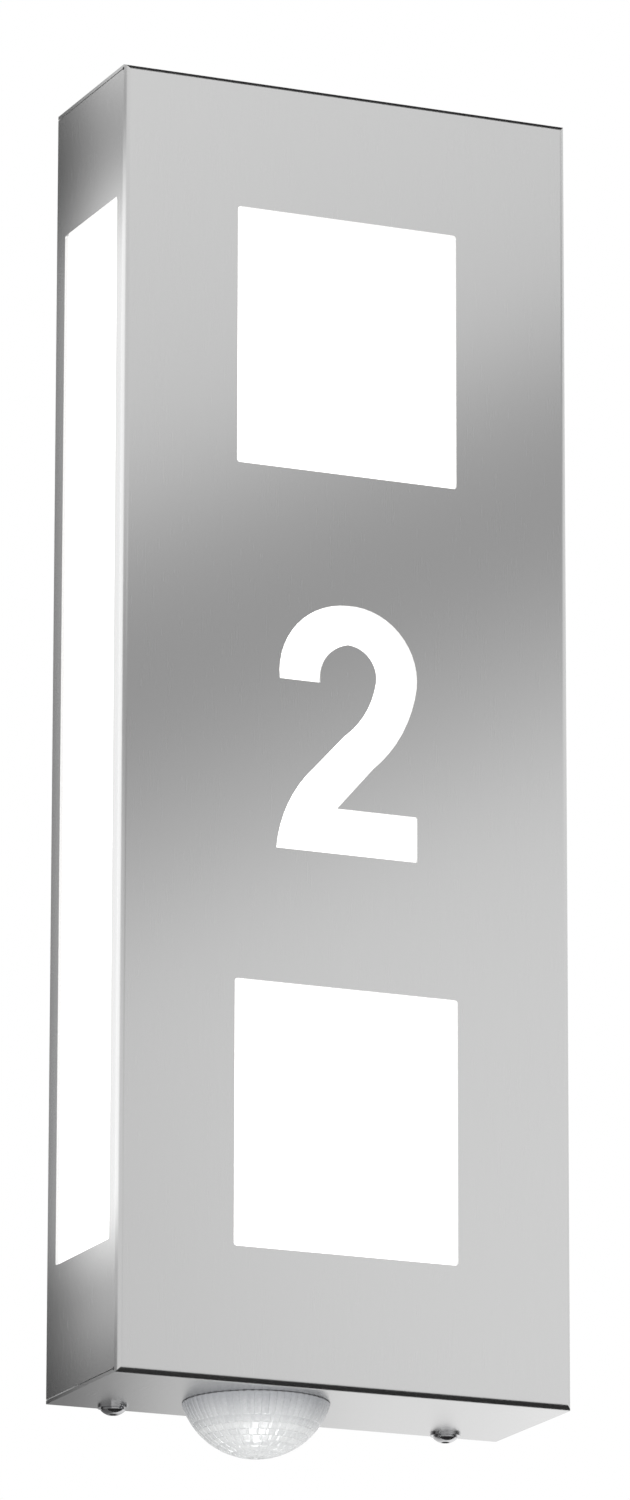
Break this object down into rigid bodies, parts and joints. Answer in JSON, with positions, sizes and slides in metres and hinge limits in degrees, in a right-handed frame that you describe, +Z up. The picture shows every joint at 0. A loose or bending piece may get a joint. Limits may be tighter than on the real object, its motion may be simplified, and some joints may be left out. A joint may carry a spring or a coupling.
{
  "type": "outdoor wall light",
  "caption": "Flat brushed-steel box wall light with lit window cut-outs, a lit house number and a domed motion sensor underneath; its cover pulls off forward.",
  "frame": {"origin": "middle of the four wall slots, on the wall plate's back face, which lies on the wall", "axes": "+Y into the wall, +Z up, +X to the right as one faces the light"},
  "size_m": [0.16, 0.061, 0.4578],
  "materials": {
    "brushed_stainless": "fine vertical grain",
    "zinc_plate": "zinc plated",
    "opal_acrylic": "satin opal, lit from behind",
    "polished_screw": "polished stainless",
    "spring_steel": "spring steel",
    "lens_plastic": "milky, faceted",
    "sensor_plastic": "moulded",
    "seal_rubber": "soft",
    "circuit_board": "solder mask",
    "sensor_can": "nickel plated",
    "holder_plastic": "heat-proof moulding",
    "brass": "drawn",
    "nickel": "nickel plated",
    "lamp_plastic": "satin white",
    "lamp_opal": "opal",
    "cap_insulator": "black insulator",
    "terminal_plastic": "natural polyamide",
    "lead_sheath": "sheathed lead",
    "earth_sheath": "green and yellow",
    "grommet_rubber": "moulded",
    "socket_plastic": "moulded",
    "dial_plastic": "moulded"
  },
  "bodies": {
    "wall_unit": {"bracket_rivets": "spring_steel", "cable_grommet": "grommet_rubber", "centre_contact_lower": "spring_steel", "centre_contact_upper": "spring_steel", "earth_lead": "earth_sheath", "earth_lug": "nickel", "earth_nut": "brass", "earth_stud": "brass", "holder_nuts": "brass", "lamp_bracket_lower": "zinc_plate", "lamp_bracket_upper": "zinc_plate", "lamp_lead_lower": "lead_sheath", "lamp_lead_upper": "lead_sheath", "lampholder_lower": "holder_plastic", "lampholder_upper": "holder_plastic", "lead_clips": "socket_plastic", "screw_shell_lower": "nickel", "screw_shell_upper": "nickel", "screw_tabs": "zinc_plate", "sensor_socket": "socket_plastic", "socket_lead": "lead_sheath", "socket_pins": "brass", "terminal_block": "terminal_plastic", "terminal_block_screw": "zinc_plate", "terminal_clamps": "brass", "terminal_screws": "zinc_plate", "wall_plate": "zinc_plate"},
    "cover": {"cover_shell": "brushed_stainless", "catch_straps": "brushed_stainless", "front_diffuser": "opal_acrylic", "side_diffuser_left": "opal_acrylic", "side_diffuser_right": "opal_acrylic", "weld_studs": "nickel", "push_nuts": "spring_steel", "cover_nuts": "zinc_plate", "screw_washers": "polished_screw", "sensor_lens": "lens_plastic", "sensor_seal": "seal_rubber", "sensor_housing": "sensor_plastic", "sensor_ring_nut": "sensor_plastic", "sensor_board": "circuit_board", "sensor_element": "sensor_can", "sensor_lid": "sensor_plastic", "sensor_lead": "lead_sheath", "sensor_plug": "socket_plastic"},
    "lamp_upper": {"lamp_cap_upper": "nickel", "lamp_contact_upper": "cap_insulator", "lamp_body_upper": "lamp_plastic", "lamp_globe_upper": "lamp_opal"},
    "lamp_lower": {"lamp_cap_lower": "nickel", "lamp_contact_lower": "cap_insulator", "lamp_body_lower": "lamp_plastic", "lamp_globe_lower": "lamp_opal"},
    "cover_screw_left": {"cover_screw_left": "polished_screw"},
    "cover_screw_right": {"cover_screw_right": "polished_screw"},
    "time_dial": {"time_dial": "dial_plastic"},
    "dusk_dial": {"dusk_dial": "dial_plastic"}
  },
  "joints": [
    {"name": "cover_pull", "type": "slide", "parent": "wall_unit", "child": "cover", "axis": [0, -1, 0], "range_m": [0, 0.08]},
    {"name": "lamp_upper_turn", "type": "hinge", "parent": "wall_unit", "child": "lamp_upper", "pos_m": [0, -0.029, 0.1], "axis": [0, 0, -1], "range_deg": [0, 1440]},
    {"name": "lamp_lower_turn", "type": "hinge", "parent": "wall_unit", "child": "lamp_lower", "pos_m": [0, -0.029, -0.1], "axis": [0, 0, 1], "range_deg": [0, 1440]},
    {"name": "cover_screw_left_turn", "type": "hinge", "parent": "cover", "child": "cover_screw_left", "pos_m": [-0.059, -0.007, -0.22], "axis": [0, 0, -1], "range_deg": [0, 720]},
    {"name": "cover_screw_right_turn", "type": "hinge", "parent": "cover", "child": "cover_screw_right", "pos_m": [0.059, -0.007, -0.22], "axis": [0, 0, -1], "range_deg": [0, 720]},
    {"name": "time_dial_turn", "type": "hinge", "parent": "cover", "child": "time_dial", "pos_m": [-0.026, -0.029, -0.196], "axis": [0, 0, -1], "range_deg": [0, 270]},
    {"name": "dusk_dial_turn", "type": "hinge", "parent": "cover", "child": "dusk_dial", "pos_m": [-0.01, -0.029, -0.196], "axis": [0, 0, -1], "range_deg": [0, 270]}
  ]
}
